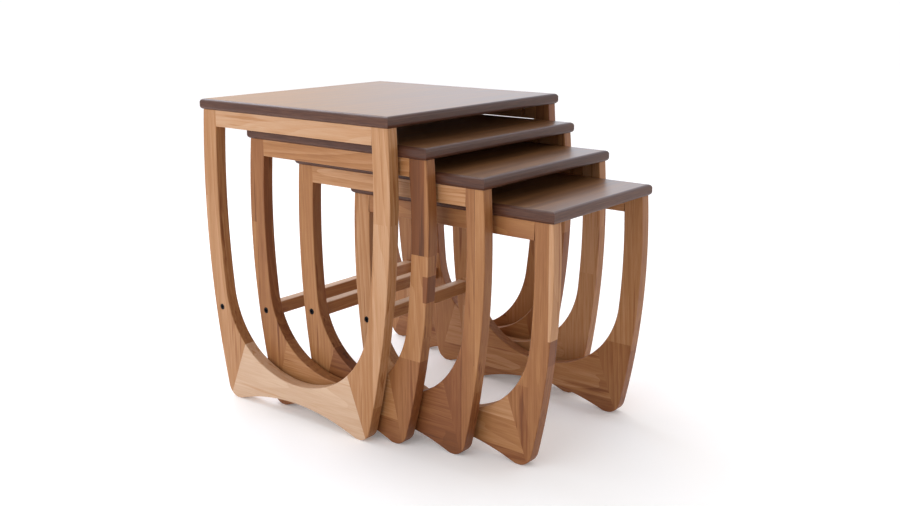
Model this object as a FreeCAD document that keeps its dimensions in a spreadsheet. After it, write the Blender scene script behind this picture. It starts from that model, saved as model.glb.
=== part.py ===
"""Nest of four tables that stand inside one another.

Axes: X runs across the tables, Y from the open front (-Y) to the back, Z up, feet on Z = 0.
The origin is at the middle of the footprint of the four tables, drawn out in a stepped row.
Each table is two curved side frames (two legs, a straight top rail and an arched bottom rail,
mitred together), a lipped top and, on the three smaller ones, a stretcher between the back legs.
"""
import FreeCAD
import Part
import math
import os

import Sketcher

Vec = FreeCAD.Vector
DOC = FreeCAD.newDocument("nesting_tables")
SHEET = DOC.addObject("Spreadsheet::Sheet", "Dimensions")

# ---------------------------------------------------------------- driving dimensions, in mm
COMMON = {
    "overall_height": (520, "largest table, floor to the top's upper face"),
    "overall_width": (450, "largest table, over the side frames"),
    "top_thickness": (18, "lipped top, veneered board"),
    "lipping_width": (7, "solid strip round the board"),
    "lipping_overhang": (4, "top beyond the frames, all round"),
    "lipping_rounding": (6, "radius on the top and bottom outer edges"),
    "leg_thickness": (21, "side frame, across"),
    "leg_width": (34, "leg, front to back"),
    "rail_height": (28, "top rail"),
    "arch_rise": (24, "underside of the bottom rail above the floor"),
    "foot_radius": (25, "rounded foot tip"),
    "foot_flat": (0.35, "depth worn flat on the foot tip"),
    "mitre_angle": (40, "where the mitre meets the foot tip, degrees from straight down"),
    "opening_fullness": (0.12, "how far the opening is squarer than a half circle"),
    "dowel_diameter": (6, "beech dowel"),
    "dowel_length": (30, "beech dowel"),
    "dowel_spacing": (14, "between the two dowels of a top rail joint"),
    "mitre_dowel_spacing": (22, "between the two dowels of a mitre"),
    "mitre_dowel_share": (0.62, "middle of those two, as a share of the mitre from the foot up"),
    "screw_diameter": (4, "pocket screw, thread"),
    "screw_head_diameter": (8, "pocket screw, pan head"),
    "screw_head_height": (2.5, "pocket screw, pan head"),
    "screw_bite": (10, "screw depth in the board, along its own axis"),
    "screw_seat": (10, "wood under the screw head, along its own axis"),
    "screw_tilt": (32, "pocket screw from upright, degrees"),
    "screw_clearance": (0.5, "tip of the pocket screw from the lipping"),
    "screw_inset": (22, "pocket screw from the leg, along the rail"),
    "pocket_diameter": (9, "pocket for the screw head"),
    "pocket_cutter": (63, "pocket's tool, long enough to leave the rail"),
    "stretcher_height": (22, "stretcher, up and down"),
    "stretcher_thickness": (18, "stretcher, front to back"),
    "bolt_diameter": (6, "stretcher bolt, shank"),
    "bolt_head_diameter": (10, "stretcher bolt, socket head"),
    "bolt_head_height": (6, "stretcher bolt, socket head"),
    "bolt_reach": (34, "stretcher bolt, depth in the stretcher"),
    "socket_radius": (2.9, "hexagon socket in the bolt head, to its corners"),
    "socket_depth": (3, "hexagon socket in the bolt head"),
    "barrel_diameter": (10, "barrel nut"),
    "barrel_length": (15, "barrel nut"),
    "barrel_inset": (26, "barrel nut from the end of the stretcher"),
    "barrel_recess": (1, "barrel nut above the stretcher's underside"),
}
# Per table: what is different from one size to the next.
TABLE = {
    "drop": ((0, 45.5, 38.5, 42), "top below the next larger table's"),
    "side_gap": ((0, 1.5, 1, 7.5), "top from the next larger table's legs, each side"),
    "depth": ((424, 386, 384, 388), "side frame at the top, front to back"),
    "pull": ((0, 51, 86.5, 100), "front legs drawn out past the next larger table's"),
    "belly": ((400, 350, 330, 310), "level where the legs bow out furthest"),
    "foot_inset": ((69, 66, 58, 58), "foot tip inside the leg's top corner"),
    "opening_floor": ((56, 69, 69, 60), "lowest point of the side opening"),
    "mitre_reach": ((121, 116, 116, 116), "mitre at the opening, from the middle of the frame"),
    "bolt_level": ((157, 160, 168, 165), "stretcher bolt above the floor"),
}
# Per table: what follows from the sizes above, as a formula of the sheet.
DERIVED = {
    "height": ("overall_height", "table{larger}_height - table{k}_drop",
               "floor to the top's upper face"),
    "width": ("overall_width",
              "table{larger}_width - 2 * (leg_thickness + lipping_overhang + table{k}_side_gap)",
              "over the side frames"),
}
HAS_STRETCHER = (False, True, True, True)
LEVEL = 0.01  # two ends closer than this in height make a level edge


def fill_sheet():
    """Write every dimension to the sheet: name, value or formula with its alias, note."""
    row = 1
    cells = dict(COMMON)
    for name, (values, note) in TABLE.items():
        for k, value in enumerate(values, 1):
            cells["table%d_%s" % (k, name)] = (value, "table %d: %s" % (k, note))
    for name, (largest, smaller, note) in DERIVED.items():
        for k in range(1, 5):
            formula = largest if k == 1 else smaller.format(k=k, larger=k - 1)
            cells["table%d_%s" % (k, name)] = ("=" + formula, "table %d: %s" % (k, note))
    for alias, (value, note) in cells.items():
        SHEET.set("A%d" % row, alias.replace("_", " "))
        SHEET.set("B%d" % row, str(value))
        SHEET.setAlias("B%d" % row, alias)
        SHEET.set("C%d" % row, note)
        row += 1
    DOC.recompute()


def size(alias):
    """A driving dimension, read back from the sheet."""
    return float(SHEET.get(alias))


def bind(obj, prop, expression):
    """Tie a property to the sheet. A bare alias is written as in the sheet."""
    obj.setExpression(prop, expression)


def cell(alias):
    return "Dimensions." + alias


# ---------------------------------------------------------------- plane geometry of a side frame
def along(origin, towards, distance):
    """The point at a distance from origin towards another point."""
    run = math.hypot(towards[0] - origin[0], towards[1] - origin[1])
    return (origin[0] + (towards[0] - origin[0]) * distance / run,
            origin[1] + (towards[1] - origin[1]) * distance / run)


def meet(c1, r1, c2, r2):
    """The lower of the two points at r1 from c1 and r2 from c2."""
    run = math.hypot(c2[0] - c1[0], c2[1] - c1[1])
    a = (r1 * r1 - r2 * r2 + run * run) / (2 * run)
    h = math.sqrt(r1 * r1 - a * a)
    ux, uy = (c2[0] - c1[0]) / run, (c2[1] - c1[1]) / run
    points = [(c1[0] + a * ux - s * h * uy, c1[1] + a * uy + s * h * ux) for s in (1, -1)]
    return min(points, key=lambda p: p[1])


class FrameOutline:
    """The back half of one side frame in its own plane: (y, z) with y = 0 in the middle.

    Outer edge: one long arc from the leg's top corner, tangent to the foot circle.
    Opening: an arc parallel to the outer edge, a side arc and a floor arc, all tangent.
    Underside: one arc between the two foot circles, tangent to both.
    """

    def __init__(self, k):
        def own(name):
            return size("table%d_%s" % (k, name))
        self.top = own("height") - size("top_thickness")
        self.rail_low = self.top - size("rail_height")
        self.half = own("depth") / 2
        belly, foot_r = own("belly"), size("foot_radius")
        self.foot = (self.half - own("foot_inset"), foot_r - size("foot_flat"))
        # Outer arc through (half, top), centred at the belly's level, tangent to the foot circle.
        rise2 = (self.top - belly) ** 2
        drop2 = (belly - self.foot[1]) ** 2
        gap = self.half - self.foot[0]
        p = (self.half ** 2 - self.foot[0] ** 2 + rise2 - drop2 + foot_r ** 2) / (2 * gap)
        q = foot_r / gap
        # centre y = p - q * R, and (half - y)^2 + rise2 = R^2
        a = q * q - 1
        b = 2 * q * (self.half - p)
        c = (self.half - p) ** 2 + rise2
        root = math.sqrt(b * b - 4 * a * c)
        self.outer_r = max((-b + root) / (2 * a), (-b - root) / (2 * a))
        self.centre = (p - q * self.outer_r, belly)
        self.outer_foot = along(self.centre, self.foot, self.outer_r)
        # Opening: the circle tangent to the inner leg arc with its floor at the set level,
        # then made squarer by a wider floor arc and tighter side arcs.
        self.inner_r = self.outer_r - size("leg_width")
        floor = own("opening_floor")
        k_rise = belly - floor
        circle = ((self.inner_r ** 2 - self.centre[0] ** 2 - k_rise ** 2)
                  / (2 * (self.inner_r - k_rise)))
        full = size("opening_fullness")
        self.floor_r = circle * (1 + full)
        self.side_r = circle * (1 - full)
        self.floor_c = (0.0, floor + self.floor_r)
        self.side_c = meet(self.floor_c, self.floor_r - self.side_r,
                           self.centre, self.inner_r - self.side_r)
        self.floor_side = along(self.floor_c, self.side_c, self.floor_r)
        self.side_leg = along(self.centre, self.side_c, self.inner_r)
        inner_y = self.centre[0] + math.sqrt(self.inner_r ** 2 - (self.rail_low - belly) ** 2)
        self.rail_end = (inner_y, self.rail_low)
        # Mitre: from the foot circle to the side arc of the opening.
        tilt = math.radians(size("mitre_angle"))
        self.mitre_foot = (self.foot[0] + foot_r * math.sin(tilt),
                           self.foot[1] - foot_r * math.cos(tilt))
        reach = own("mitre_reach")
        self.mitre_top = (reach, self.side_c[1]
                          - math.sqrt(self.side_r ** 2 - (reach - self.side_c[0]) ** 2))
        # Underside arc, tangent to the foot circles from outside.
        rise = size("arch_rise")
        lift = self.foot[1] - rise
        self.arch_r = ((self.foot[0] ** 2 + lift ** 2 - foot_r ** 2) / (2 * (foot_r - lift)))
        self.arch_c = (0.0, rise - self.arch_r)
        self.arch_foot = along(self.foot, self.arch_c, foot_r)
        half_flat = math.sqrt(foot_r ** 2 - self.foot[1] ** 2)
        self.flat_out = (self.foot[0] + half_flat, 0.0)
        self.flat_in = (self.foot[0] - half_flat, 0.0)

    def outer_y(self, z):
        return self.centre[0] + math.sqrt(self.outer_r ** 2 - (z - self.centre[1]) ** 2)

    def leg_middle(self, z):
        """Middle of the leg at a level."""
        return (self.outer_y(z) + self.outer_y(z) - size("leg_width")) / 2


def leg_path(o, k):
    """Segments of a leg: (kind, start, end, centre, radius expression)."""
    top = "%s - %s" % (cell("table%d_height" % k), cell("top_thickness"))
    return [
        ("line", (o.rail_end[0], o.top), (o.half, o.top), None, None),
        ("arc", (o.half, o.top), o.outer_foot, o.centre, None),
        ("arc", o.outer_foot, o.mitre_foot, o.foot, cell("foot_radius")),
        ("line", o.mitre_foot, o.mitre_top, None, None),
        ("arc", o.mitre_top, o.side_leg, o.side_c, None),
        ("arc", o.side_leg, o.rail_end, o.centre, None),
        ("line", o.rail_end, (o.rail_end[0], o.top), None, None),
    ], {0: (None, top), 1: (cell("table%d_depth" % k) + " / 2", top),
        6: (None, "%s - %s" % (top, cell("rail_height"))),
        4: (cell("table%d_mitre_reach" % k), None)}


def bottom_rail_path(o, k):
    """Segments of the arched bottom rail, both halves."""
    half = [
        ("arc", o.floor_side, o.mitre_top, o.side_c, None),
        ("line", o.mitre_top, o.mitre_foot, None, None),
        ("arc", o.mitre_foot, o.flat_out, o.foot, cell("foot_radius")),
        ("line", o.flat_out, o.flat_in, None, None),
        ("arc", o.flat_in, o.arch_foot, o.foot, cell("foot_radius")),
    ]

    def flip(p):
        return (-p[0], p[1])
    other = [(kind, flip(b), flip(a), flip(c) if c else None, e)
             for kind, a, b, c, e in reversed(half)]
    arch = ("arc", o.arch_foot, flip(o.arch_foot), o.arch_c, None)
    floor = ("arc", flip(o.floor_side), o.floor_side, o.floor_c, None)
    return half + [arch] + other + [floor], {1: (cell("table%d_mitre_reach" % k), None)}


def side_zone_path(outer, inner, outer_cells, inner_cells):
    """Plan of the right side strip, from corner diagonal to corner diagonal."""
    corners = [(outer[0], -outer[1]), outer, inner, (inner[0], -inner[1])]
    path = [("line", a, b, None, None) for a, b in zip(corners, corners[1:] + corners[:1])]
    return path, {0: (outer_cells[0], "-" + outer_cells[1]), 1: tuple(outer_cells),
                  2: tuple(inner_cells), 3: (inner_cells[0], "-" + inner_cells[1])}


def draw(sketch, path, bound, mirror=False):
    """Put a closed path in a sketch and fix it: corners by distance, arcs by radius.

    bound ties the start of a segment to the sheet: {segment: (first, second expression)}.
    """
    sign = -1 if mirror else 1
    ends = []
    for kind, a, b, c, _ in path:
        a, b = (sign * a[0], a[1]), (sign * b[0], b[1])
        if kind == "line":
            index = sketch.addGeometry(Part.LineSegment(Vec(*a, 0), Vec(*b, 0)), False)
            ends.append((index, 1, 2))
            continue
        c = (sign * c[0], c[1])
        radius = math.hypot(a[0] - c[0], a[1] - c[1])
        t0 = math.atan2(a[1] - c[1], a[0] - c[0])
        t1 = math.atan2(b[1] - c[1], b[0] - c[0])
        turn = (t1 - t0 + math.pi) % (2 * math.pi) - math.pi
        circle = Part.Circle(Vec(*c, 0), Vec(0, 0, 1), radius)
        first, last = (t0, t0 + turn) if turn > 0 else (t0 + turn, t0)
        index = sketch.addGeometry(Part.ArcOfCircle(circle, first, last), False)
        ends.append((index, 1, 2) if turn > 0 else (index, 2, 1))
    for i, (index, start, _) in enumerate(ends):
        before = ends[i - 1]
        sketch.addConstraint(Sketcher.Constraint("Coincident", before[0], before[2], index, start))
    for i, (kind, a, b, c, radius_cell) in enumerate(path):
        index, start, _ = ends[i]
        first_cell, second_cell = bound.get(i, (None, None))
        n = sketch.addConstraint(
            Sketcher.Constraint("DistanceX", -1, 1, index, start, sign * a[0]))
        if first_cell:
            sketch.setExpression("Constraints[%d]" % n,
                                 ("-(%s)" if mirror else "%s") % first_cell)
        n = sketch.addConstraint(Sketcher.Constraint("DistanceY", -1, 1, index, start, a[1]))
        if second_cell:
            sketch.setExpression("Constraints[%d]" % n, second_cell)
        if kind == "arc":
            radius = math.hypot(a[0] - c[0], a[1] - c[1])
            n = sketch.addConstraint(Sketcher.Constraint("Radius", index, radius))
            if radius_cell:
                sketch.setExpression("Constraints[%d]" % n, radius_cell)


def plate(name, role, path, bound, length, mirror=False):
    """A flat piece: its outline on one of its body's own planes, padded by a length."""
    body = DOC.addObject("PartDesign::Body", name + "_body")
    sketch = body.newObject("Sketcher::SketchObject", name + "_outline")
    plane = [f for f in body.Origin.OriginFeatures if f.Role == role][0]
    sketch.AttachmentSupport = (plane, [""])
    sketch.MapMode = "FlatFace"
    draw(sketch, path, bound, mirror)
    pad = body.newObject("PartDesign::Pad", name + "_pad")
    pad.Profile = sketch
    bind(pad, "Length", length)
    return body


# ---------------------------------------------------------------- small builders
def box(name, sizes, place, bound=()):
    """A box with its lowest corner at place; bound are expressions for its three sizes."""
    obj = DOC.addObject("Part::Box", name)
    obj.Length, obj.Width, obj.Height = sizes
    for prop, expression in zip(("Length", "Width", "Height"), bound):
        if expression:
            bind(obj, prop, expression)
    obj.Placement.Base = Vec(*place)
    return obj


def rod(name, start, direction, length, radius, bound=(None, None)):
    """A cylinder from a point along a direction; bound are expressions for radius and length."""
    obj = DOC.addObject("Part::Cylinder", name)
    obj.Radius, obj.Height = radius, length
    for prop, expression in zip(("Radius", "Height"), bound):
        if expression:
            bind(obj, prop, expression)
    turn = FreeCAD.Rotation(Vec(0, 0, 1), Vec(*direction))
    obj.Placement = FreeCAD.Placement(Vec(*start), turn)
    return obj


def compound(name, parts):
    obj = DOC.addObject("Part::Compound", name)
    obj.Links = parts
    return obj


def cut(name, base, tools):
    """base less its tools, which are grouped first."""
    obj = DOC.addObject("Part::Cut", name)
    obj.Base = base
    obj.Tool = tools[0] if len(tools) == 1 else compound(name + "_tools", tools)
    return obj


def fuse(name, parts):
    obj = DOC.addObject("Part::MultiFuse", name)
    obj.Shapes = parts
    return obj


NODES = []


def keep(obj, label):
    """Name a finished sub-part: the label is its node's name."""
    obj.Label = label
    NODES.append(obj)
    return obj


# ---------------------------------------------------------------- one table
def build_table(k, middle_y):
    """All the sub-parts of table k, with the middle of its frames at middle_y."""
    name = "table_%d_" % k
    own = {key: size("table%d_%s" % (k, key)) for key in ("width", "depth", "bolt_level")}
    o = FrameOutline(k)
    half_x = own["width"] / 2
    thick = size("leg_thickness")
    under = o.top
    width_cell, depth_cell = cell("table%d_width" % k), cell("table%d_depth" % k)

    # Side frames. The left one's outer face is at -half_x, the right one's at +half_x.
    sides = (("left", -1), ("right", 1))
    low_x = {"left": -half_x, "right": half_x - thick}
    base_cell = {"left": "-%s / 2" % width_cell,
                 "right": "%s / 2 - %s" % (width_cell, cell("leg_thickness"))}
    blanks = {}
    for side, _ in sides:
        for piece, outline, mirror in (("front_leg", leg_path, True),
                                       ("rear_leg", leg_path, False),
                                       ("bottom_rail", bottom_rail_path, False)):
            path, bound = outline(o, k)
            blank = plate(name + side + "_" + piece, "YZ_Plane", path, bound,
                          cell("leg_thickness"), mirror)
            blank.Placement.Base = Vec(low_x[side], middle_y, 0)
            bind(blank, "Placement.Base.x", base_cell[side])
            blanks[side, piece] = blank
        blanks[side, "top_rail"] = box(name + side + "_top_rail_blank",
                                       (thick, 2 * o.rail_end[0], size("rail_height")),
                                       (low_x[side], middle_y - o.rail_end[0], o.rail_low),
                                       (cell("leg_thickness"), None, cell("rail_height")))

    # Dowels: two across each joint of the top rail, two across each mitre, all mid-thickness.
    radius, length = size("dowel_diameter") / 2, size("dowel_length")
    spacing = size("dowel_spacing")
    dowel_cells = (cell("dowel_diameter") + " / 2", cell("dowel_length"))
    mitre = (o.mitre_top[0] - o.mitre_foot[0], o.mitre_top[1] - o.mitre_foot[1])
    mitre_run = math.hypot(*mitre)
    mitre = (mitre[0] / mitre_run, mitre[1] / mitre_run)
    across = (mitre[1], -mitre[0])
    joints = []
    for step in (-0.5, 0.5):
        level = (o.rail_low + o.top) / 2 + step * spacing
        joints.append(((o.rail_end[0], level), (1.0, 0.0)))
        share = size("mitre_dowel_share") + step * size("mitre_dowel_spacing") / mitre_run
        spot = (o.mitre_foot[0] + mitre[0] * mitre_run * share,
                o.mitre_foot[1] + mitre[1] * mitre_run * share)
        joints.append((spot, across))
    dowels = {"left": [], "right": []}
    for side, _ in sides:
        for s in (-1, 1):
            for n, (spot, way) in enumerate(joints):
                start = (low_x[side] + thick / 2,
                         middle_y + s * (spot[0] - way[0] * length / 2),
                         spot[1] - way[1] * length / 2)
                dowels[side].append(rod("%s%s_dowel_%d_%d" % (name, side, n, s), start,
                                        (0, s * way[0], way[1]), length, radius, dowel_cells))

    # Pocket screws: up through the top rail into the board, two to a rail, leaning outwards
    # and stopping short of the lipping.
    tilt = math.radians(size("screw_tilt"))
    screw_r = size("screw_diameter") / 2
    seat, bite = size("screw_seat"), size("screw_bite")
    head = size("screw_head_height")
    screw_from_face = (size("lipping_width") - size("lipping_overhang") + size("screw_clearance")
                       + bite * math.sin(tilt) + screw_r * math.cos(tilt))
    screws, pockets, shanks = {"left": [], "right": []}, {"left": [], "right": []}, []
    for side, sign in sides:
        for s in (-1, 1):
            y = middle_y + s * (o.rail_end[0] - size("screw_inset"))
            crossing = (sign * (half_x - screw_from_face), y, under)
            up = (sign * math.sin(tilt), 0.0, math.cos(tilt))

            def on_axis(d):
                return tuple(crossing[i] + up[i] * d for i in range(3))
            tag = "%s%s_screw_%d" % (name, side, s)
            shank = rod(tag + "_shank", on_axis(-seat), up, seat + bite, screw_r,
                        (cell("screw_diameter") + " / 2",
                         "%s + %s" % (cell("screw_seat"), cell("screw_bite"))))
            cap = rod(tag + "_head", on_axis(-seat - head), up, head,
                      size("screw_head_diameter") / 2,
                      (cell("screw_head_diameter") + " / 2", cell("screw_head_height")))
            pocket = rod(tag + "_pocket", on_axis(-seat - size("pocket_cutter")), up,
                         size("pocket_cutter"), size("pocket_diameter") / 2,
                         (cell("pocket_diameter") + " / 2", cell("pocket_cutter")))
            screws[side].append(fuse(tag, [shank, cap]))
            pockets[side].append(pocket)
            shanks.append(shank)

    # Stretcher bolts, their recesses in the back legs, and the stretcher with its barrel nuts.
    level = own["bolt_level"]
    bolt_y = middle_y + o.leg_middle(level)
    head_r, head_h = size("bolt_head_diameter") / 2, size("bolt_head_height")
    head_cells = (cell("bolt_head_diameter") + " / 2", cell("bolt_head_height"))
    has_stretcher = HAS_STRETCHER[k - 1]
    inner_x = half_x - thick
    fixings, bolt_tools, nut_tools = [], {"left": [], "right": []}, []
    reach = size("bolt_reach") if has_stretcher else 0.0
    for side, sign in sides:
        tag = name + side + "_bolt"
        inward = (-sign, 0, 0)
        cap = rod(tag + "_head", (sign * half_x, bolt_y, level), inward, head_h, head_r,
                  head_cells)
        shank_x = sign * (half_x - head_h)
        shank = rod(tag + "_shank", (shank_x, bolt_y, level), inward,
                    thick - head_h + reach, size("bolt_diameter") / 2,
                    (cell("bolt_diameter") + " / 2", None))
        solid = fuse(tag + "_blank", [cap, shank])
        key = DOC.addObject("Part::Prism", tag + "_socket")
        key.Polygon = 6
        bind(key, "Circumradius", cell("socket_radius"))
        bind(key, "Height", cell("socket_depth"))
        key.Placement = FreeCAD.Placement(Vec(sign * half_x, bolt_y, level),
                                          FreeCAD.Rotation(Vec(0, 0, 1), Vec(*inward)))
        fixings.append(cut(tag, solid, [key]))
        bolt_tools[side] += [cap, shank]
        if has_stretcher:
            nut_x = sign * (inner_x - size("barrel_inset"))
            recess = size("barrel_recess")
            nut_z = level - size("stretcher_height") / 2 + recess
            nut = rod(tag + "_nut_blank", (nut_x, bolt_y, nut_z), (0, 0, 1),
                      size("barrel_length"), size("barrel_diameter") / 2,
                      (cell("barrel_diameter") + " / 2", cell("barrel_length")))
            hole = rod(tag + "_nut_hole", (nut_x, bolt_y, nut_z - recess), (0, 0, 1),
                       size("barrel_length") + recess, size("barrel_diameter") / 2,
                       (cell("barrel_diameter") + " / 2",
                        "%s + %s" % (cell("barrel_length"), cell("barrel_recess"))))
            nut_tools.append(hole)
            fixings.append(cut(tag + "_nut", nut, [shank]))

    # Finished wooden pieces, each less what passes through it.
    for side, _ in sides:
        tools = {"front_leg": [], "rear_leg": bolt_tools[side], "bottom_rail": [],
                 "top_rail": pockets[side] + screws[side]}
        for piece, holes in tools.items():
            label = name + side + "_" + piece
            keep(cut(label + "_cut", blanks[side, piece], dowels[side] + holes), label)
    if has_stretcher:
        blank = box(name + "stretcher_blank",
                    (2 * inner_x, size("stretcher_thickness"), size("stretcher_height")),
                    (-inner_x, bolt_y - size("stretcher_thickness") / 2,
                     level - size("stretcher_height") / 2),
                    ("%s - 2 * %s" % (width_cell, cell("leg_thickness")),
                     cell("stretcher_thickness"), cell("stretcher_height")))
        keep(cut(name + "stretcher_cut", blank,
                 bolt_tools["left"] + bolt_tools["right"] + nut_tools), name + "stretcher")
    keep(compound(name + "bolt_set", fixings),
         name + ("stretcher_bolts" if has_stretcher else "bolt_caps"))

    # Top: a veneered board inside a mitred solid lipping with rounded edges.
    over, lip = size("lipping_overhang"), size("lipping_width")
    board_t, thick_cell = size("top_thickness"), cell("top_thickness")
    full_x, full_y = own["width"] + 2 * over, own["depth"] + 2 * over
    full_cells = ("%s + 2 * %s" % (width_cell, cell("lipping_overhang")),
                  "%s + 2 * %s" % (depth_cell, cell("lipping_overhang")))
    board_cells = tuple("%s - 2 * %s" % (c, cell("lipping_width")) for c in full_cells)
    corner = (-full_x / 2, middle_y - full_y / 2, under)
    board_at = (corner[0] + lip, corner[1] + lip, under)
    board_size = (full_x - 2 * lip, full_y - 2 * lip, board_t)
    board = box(name + "board", board_size, board_at, board_cells + (thick_cell,))
    keep(cut(name + "board_cut", board, shanks), name + "top_panel")
    slab = box(name + "slab", (full_x, full_y, board_t), corner, full_cells + (thick_cell,))
    DOC.recompute()
    radius = size("lipping_rounding")
    rounded = DOC.addObject("Part::Fillet", name + "rounded_slab")
    rounded.Base = slab
    rounded.Edges = [(i, radius, radius) for i, edge in enumerate(slab.Shape.Edges, 1)
                     if abs(edge.Vertexes[0].Z - edge.Vertexes[-1].Z) < LEVEL]
    window = box(name + "window", board_size, board_at, board_cells + (thick_cell,))
    ring = cut(name + "ring", rounded, [window])
    # The side strips keep the zones beyond the diagonals of the corners.
    path, bound = side_zone_path((full_x / 2, full_y / 2), (full_x / 2 - lip, full_y / 2 - lip),
                                 ["(%s) / 2" % c for c in full_cells],
                                 ["(%s) / 2" % c for c in board_cells])
    zones = []
    for side, sign in sides:
        zone = plate(name + side + "_zone", "XY_Plane", path, bound, thick_cell, sign < 0)
        zone.Placement.Base = Vec(0, middle_y, under)
        zones.append(zone)
    both_zones = compound(name + "side_zones", zones)
    side_strips = DOC.addObject("Part::Common", name + "side_strips")
    side_strips.Base, side_strips.Tool = ring, both_zones
    keep(side_strips, name + "side_lippings")
    keep(cut(name + "end_strips", ring, [both_zones]), name + "end_lippings")
    keep(compound(name + "screw_set", screws["left"] + screws["right"]), name + "top_screws")
    keep(compound(name + "dowel_set", dowels["left"] + dowels["right"]), name + "dowels")


def table_middles():
    """Where the middle of each table's frames stands on Y, with the footprint centred."""
    fronts, front = [], 0.0
    for k in range(1, 5):
        front -= size("table%d_pull" % k)
        fronts.append(front)
    halves = [size("table%d_depth" % k) / 2 for k in range(1, 5)]
    low = min(fronts)
    high = max(f + 2 * h for f, h in zip(fronts, halves))
    shift = (low + high) / 2
    return [f + h - shift for f, h in zip(fronts, halves)]


def check_document():
    """Stop if anything in the document failed, or a sub-part has no sound shape."""
    DOC.recompute()
    bad = [obj.Name for obj in DOC.Objects if {"Invalid", "Error"} & set(obj.State)]
    bad += [obj.Label for obj in NODES if obj.Shape.isNull() or not obj.Shape.isValid()
            or not obj.Shape.Solids]
    if bad:
        raise SystemExit("not sound: " + ", ".join(bad))


def main():
    fill_sheet()
    for k, middle in enumerate(table_middles(), 1):
        build_table(k, middle)
    check_document()
    os.makedirs("parts", exist_ok=True)
    for obj in NODES:
        obj.Shape.exportStep("parts/%s.step" % obj.Label)
    box_all = NODES[0].Shape.BoundBox
    for obj in NODES[1:]:
        box_all.add(obj.Shape.BoundBox)
    print("%d sub-parts, %.1f x %.1f x %.1f mm, from %s" % (
        len(NODES), box_all.XLength, box_all.YLength, box_all.ZLength,
        [round(v, 2) for v in (box_all.XMin, box_all.YMin, box_all.ZMin)]))


main()
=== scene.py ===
# %% [markdown]
# # A nest of four tables
# Four small tables stand inside one another. Each has two curved side frames of laminated
# teak, a veneered top with a dark solid lipping, and the three smaller ones have a stretcher
# between the back legs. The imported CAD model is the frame: it says where every piece is. Each
# visible piece, apart from the flat boards, is modelled again here with the softened edges of
# the real one, and every piece gets its grain and finish.

# %% Load the frame
import math
import random

import bmesh
import bpy
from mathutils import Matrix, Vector


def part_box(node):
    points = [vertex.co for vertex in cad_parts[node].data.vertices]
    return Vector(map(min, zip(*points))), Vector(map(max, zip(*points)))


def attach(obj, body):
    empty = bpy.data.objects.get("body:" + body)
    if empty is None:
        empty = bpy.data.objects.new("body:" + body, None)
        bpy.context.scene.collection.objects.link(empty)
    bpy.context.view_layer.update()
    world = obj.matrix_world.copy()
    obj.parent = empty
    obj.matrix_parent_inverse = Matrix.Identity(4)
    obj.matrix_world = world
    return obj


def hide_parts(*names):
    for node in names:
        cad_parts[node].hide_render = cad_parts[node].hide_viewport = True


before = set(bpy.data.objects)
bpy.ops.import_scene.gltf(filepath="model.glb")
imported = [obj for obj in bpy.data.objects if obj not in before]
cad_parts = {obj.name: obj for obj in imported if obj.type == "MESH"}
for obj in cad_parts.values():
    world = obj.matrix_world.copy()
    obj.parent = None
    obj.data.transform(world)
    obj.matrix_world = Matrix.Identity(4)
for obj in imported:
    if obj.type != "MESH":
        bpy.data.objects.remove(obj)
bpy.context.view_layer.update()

MM = 0.001

# %% [markdown]
# ## Working in edit mode
# An operator acts on whatever is selected, so every step starts from nothing selected. Five
# small helpers keep that tidy: they make an object the only active one, open it in edit mode,
# pick its elements by a test on their place, go back, and name what has just been made.


# %% Helpers for selecting
def only(obj):
    """Make obj the one selected and active object."""
    if bpy.context.object and bpy.context.object.mode == "EDIT":
        bpy.ops.object.mode_set(mode="OBJECT")
    bpy.ops.object.select_all(action="DESELECT")
    obj.select_set(True)
    bpy.context.view_layer.objects.active = obj
    return obj


def edit(obj):
    """Open obj in edit mode with everything selected."""
    only(obj)
    bpy.ops.object.mode_set(mode="EDIT")
    bpy.ops.mesh.select_mode(type="VERT")
    bpy.ops.mesh.select_all(action="SELECT")


def pick(obj, kind, test):
    """In edit mode, select only the verts, edges or faces that pass a test; say how many."""
    mode = {"verts": "VERT", "edges": "EDGE", "faces": "FACE"}[kind]
    bpy.ops.mesh.select_mode(type=mode)
    bpy.ops.mesh.select_all(action="DESELECT")
    mesh = bmesh.from_edit_mesh(obj.data)
    chosen = [e for e in getattr(mesh, kind) if test(e)]
    for element in chosen:
        element.select_set(True)
    bmesh.update_edit_mesh(obj.data)
    return len(chosen)


def leave():
    """Back to object mode."""
    bpy.ops.object.mode_set(mode="OBJECT")


def named(name):
    """The object an operator has just made, with its new name."""
    bpy.context.object.name = bpy.context.object.data.name = name
    return bpy.context.object


print("helpers ready")

# %% [markdown]
# ## Where the compass stands
# A side frame is drawn with a compass: one long arc down the outside of the leg, a small one
# round the foot tip, a shallow one for the arch under the rail, and three that meet smoothly
# round the opening. The CAD boxes give heights, widths and the rail; the table below holds
# the few sizes that a box can't tell. From them, tangency fixes every centre.

# %% Sizes of the side frames
TABLES = (1, 2, 3, 4)
BELLY = (400, 350, 330, 310)            # level where a leg bows out furthest, mm
FOOT_INSET = (69, 66, 58, 58)           # foot tip inside the leg's top corner, mm
OPENING_FLOOR = (56, 69, 69, 60)        # lowest point of the opening, mm
MITRE_REACH = (121, 116, 116, 116)      # mitre at the opening, from the middle, mm
LEG_WIDTH = 34 * MM
OVERHANG = 4 * MM
FOOT_R = 25 * MM                        # rounding of a foot tip
FOOT_FLAT = 0.35 * MM                   # depth worn flat underneath it
ARCH_RISE = 24 * MM                     # height of the arch under the bottom rail
FULLNESS = 0.12                         # how far the opening is squarer than a circle
MITRE_ANGLE = math.radians(40)          # where the mitre leaves the foot's rounding


def toward(start, end, distance):
    """The point at a distance from start on the way to end."""
    run = math.dist(start, end)
    return tuple(s + (e - s) * distance / run for s, e in zip(start, end))


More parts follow.
